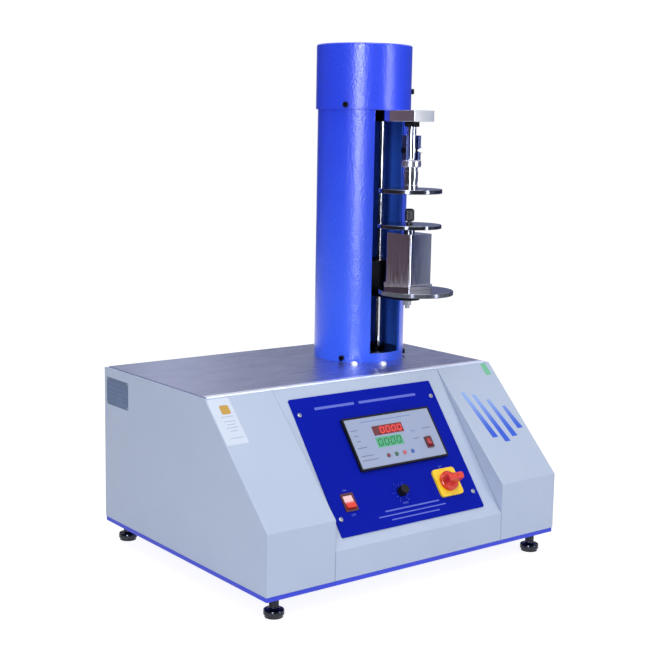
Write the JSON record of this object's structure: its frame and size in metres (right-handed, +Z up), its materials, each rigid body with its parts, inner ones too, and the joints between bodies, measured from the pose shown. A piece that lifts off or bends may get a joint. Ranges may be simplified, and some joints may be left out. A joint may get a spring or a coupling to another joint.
{
  "type": "box crush tester",
  "caption": "Bench crush tester: sloping instrument cabinet with a slotted column, a screw-driven lower platen and a hanging upper platen.",
  "frame": {"origin": "on the floor, at the bottom centre of the bounding box, under the middle of the cabinet", "axes": "+Z up, +X to the right seen from the front, the control panel faces -Y"},
  "size_m": [0.625, 0.51, 0.896],
  "materials": {
    "cabinet_paint": "fine textured pale blue-grey powder coat",
    "blue_paint": "glossy royal blue powder coat",
    "stainless_sheet": "brushed stainless sheet",
    "plate_print": "smooth deep blue printed aluminium",
    "chrome_steel": "bright chrome plate",
    "ground_steel": "ground and polished steel",
    "black_steel": "black oxide steel",
    "zinc_steel": "zinc plated mild steel",
    "aluminium": "machined aluminium",
    "bronze": "sintered bronze",
    "black_plastic": "black moulded plastic",
    "face_sheet": "pale printed polyester sheet",
    "display_glass": "dark display window",
    "key_dark_red": "dark red key",
    "key_green": "green key",
    "key_light_red": "light red key",
    "key_blue": "blue key",
    "red_rocker": "lit red rocker",
    "yellow_plastic": "yellow moulded plastic",
    "red_plastic": "red moulded plastic",
    "grey_plastic": "grey moulded plastic",
    "belt_rubber": "black belt rubber",
    "galvanised": "galvanised steel case"
  },
  "bodies": {
    "cabinet": {"base_tray": "blue_paint", "foot_lock_nuts": "zinc_steel", "cabinet_shell": "cabinet_paint", "front_panel": "cabinet_paint", "deck_plate": "stainless_sheet", "rear_cover": "cabinet_paint", "cover_screws": "chrome_steel", "control_plate": "plate_print", "support_frame": "zinc_steel", "mounting_plate": "zinc_steel", "column_tube": "blue_paint", "column_foot_ring": "black_steel", "column_cap": "blue_paint", "column_screws": "black_steel", "bulkhead": "zinc_steel", "guide_rods": "chrome_steel", "screw_bearings": "ground_steel", "drive_belt": "belt_rubber", "drive_motor": "black_steel", "motor_bracket": "zinc_steel", "top_arm": "ground_steel", "lock_nut": "black_steel", "load_rod": "chrome_steel", "yoke_pin": "chrome_steel", "meter_case": "black_plastic", "meter_face": "face_sheet", "meter_displays": "display_glass", "tare_switch_body": "black_plastic", "power_switch_body": "black_plastic", "speed_control": "grey_plastic", "isolator_plate": "yellow_plastic", "isolator_body": "grey_plastic", "mains_inlet": "black_plastic", "power_supply": "galvanised"},
    "carriage": {"carriage": "black_steel", "guide_bushes": "bronze", "lead_nut": "bronze", "lower_platen": "ground_steel", "platen_bolt": "zinc_steel", "steel_block": "ground_steel", "pressure_disc": "ground_steel"},
    "clamp_knob": {"clamp_knob": "black_plastic"},
    "lead_screw": {"lead_screw": "ground_steel", "driven_pulley": "aluminium"},
    "motor_shaft": {"drive_pulley": "aluminium"},
    "upper_head": {"load_yoke": "ground_steel", "load_cell": "chrome_steel", "upper_platen": "ground_steel"},
    "tare_rocker": {"tare_rocker": "red_rocker"},
    "power_rocker": {"power_rocker": "red_rocker"},
    "speed_knob": {"speed_knob": "black_plastic"},
    "isolator_handle": {"isolator_handle": "red_plastic"},
    "key_1": {"key_1": "key_dark_red"},
    "key_2": {"key_2": "key_green"},
    "key_3": {"key_3": "key_light_red"},
    "key_4": {"key_4": "key_blue"},
    "foot_front_left": {"foot_front_left": "chrome_steel"},
    "foot_front_right": {"foot_front_right": "chrome_steel"},
    "foot_rear_left": {"foot_rear_left": "chrome_steel"},
    "foot_rear_right": {"foot_rear_right": "chrome_steel"}
  },
  "joints": [
    {"name": "carriage_lift", "type": "slide", "parent": "cabinet", "child": "carriage", "axis": [0, 0, 1], "range_m": [-0.095, 0.024]},
    {"name": "screw_turn", "type": "hinge", "parent": "cabinet", "child": "lead_screw", "pos_m": [0.146, 0.115, 0.319], "axis": [0, 0, 1], "range_deg": [-3500, 900]},
    {"name": "motor_turn", "type": "hinge", "parent": "cabinet", "child": "motor_shaft", "pos_m": [0.036, 0.115, 0.29], "axis": [0, 0, 1], "range_deg": [-7000, 1800]},
    {"name": "clamp_knob_turn", "type": "hinge", "parent": "carriage", "child": "clamp_knob", "pos_m": [0.146, -0.034, 0.583], "axis": [0, 0, 1], "range_deg": [0, 540]},
    {"name": "upper_head_swing", "type": "hinge", "parent": "cabinet", "child": "upper_head", "pos_m": [0.146, -0.034, 0.7082], "axis": [1, 0, 0], "range_deg": [-3, 3]},
    {"name": "power_rocker_tilt", "type": "hinge", "parent": "cabinet", "child": "power_rocker", "pos_m": [-0.122, -0.21142, 0.15022], "axis": [1, 0, 0], "range_deg": [0, 24]},
    {"name": "tare_rocker_tilt", "type": "hinge", "parent": "cabinet", "child": "tare_rocker", "pos_m": [0.0855, -0.16937, 0.21317], "axis": [1, 0, 0], "range_deg": [0, 24]},
    {"name": "speed_knob_turn", "type": "hinge", "parent": "cabinet", "child": "speed_knob", "pos_m": [-0.0113, -0.21142, 0.15022], "axis": [0, -0.789, 0.6144], "range_deg": [-150, 150]},
    {"name": "isolator_turn", "type": "hinge", "parent": "cabinet", "child": "isolator_handle", "pos_m": [0.091, -0.21142, 0.15022], "axis": [0, -0.789, 0.6144], "range_deg": [0, 90]},
    {"name": "key_1_press", "type": "slide", "parent": "cabinet", "child": "key_1", "axis": [0, 0.789, -0.6144], "range_m": [0, 0.001], "stiffness_N_per_m": 300, "springref_m": -0.0005},
    {"name": "key_2_press", "type": "slide", "parent": "cabinet", "child": "key_2", "axis": [0, 0.789, -0.6144], "range_m": [0, 0.001], "stiffness_N_per_m": 300, "springref_m": -0.0005},
    {"name": "key_3_press", "type": "slide", "parent": "cabinet", "child": "key_3", "axis": [0, 0.789, -0.6144], "range_m": [0, 0.001], "stiffness_N_per_m": 300, "springref_m": -0.0005},
    {"name": "key_4_press", "type": "slide", "parent": "cabinet", "child": "key_4", "axis": [0, 0.789, -0.6144], "range_m": [0, 0.001], "stiffness_N_per_m": 300, "springref_m": -0.0005},
    {"name": "foot_front_left_turn", "type": "hinge", "parent": "cabinet", "child": "foot_front_left", "pos_m": [-0.281, -0.23, 0.035], "axis": [0, 0, 1], "range_deg": [-720, 720]},
    {"name": "foot_front_right_turn", "type": "hinge", "parent": "cabinet", "child": "foot_front_right", "pos_m": [0.281, -0.23, 0.035], "axis": [0, 0, 1], "range_deg": [-720, 720]},
    {"name": "foot_rear_left_turn", "type": "hinge", "parent": "cabinet", "child": "foot_rear_left", "pos_m": [-0.281, 0.23, 0.035], "axis": [0, 0, 1], "range_deg": [-720, 720]},
    {"name": "foot_rear_right_turn", "type": "hinge", "parent": "cabinet", "child": "foot_rear_right", "pos_m": [0.281, 0.23, 0.035], "axis": [0, 0, 1], "range_deg": [-720, 720]}
  ],
  "couplings": [
    {"joint": "screw_turn", "follows": "carriage_lift", "rad_per_m": 628.32},
    {"joint": "motor_turn", "follows": "carriage_lift", "rad_per_m": 1256.6}
  ]
}
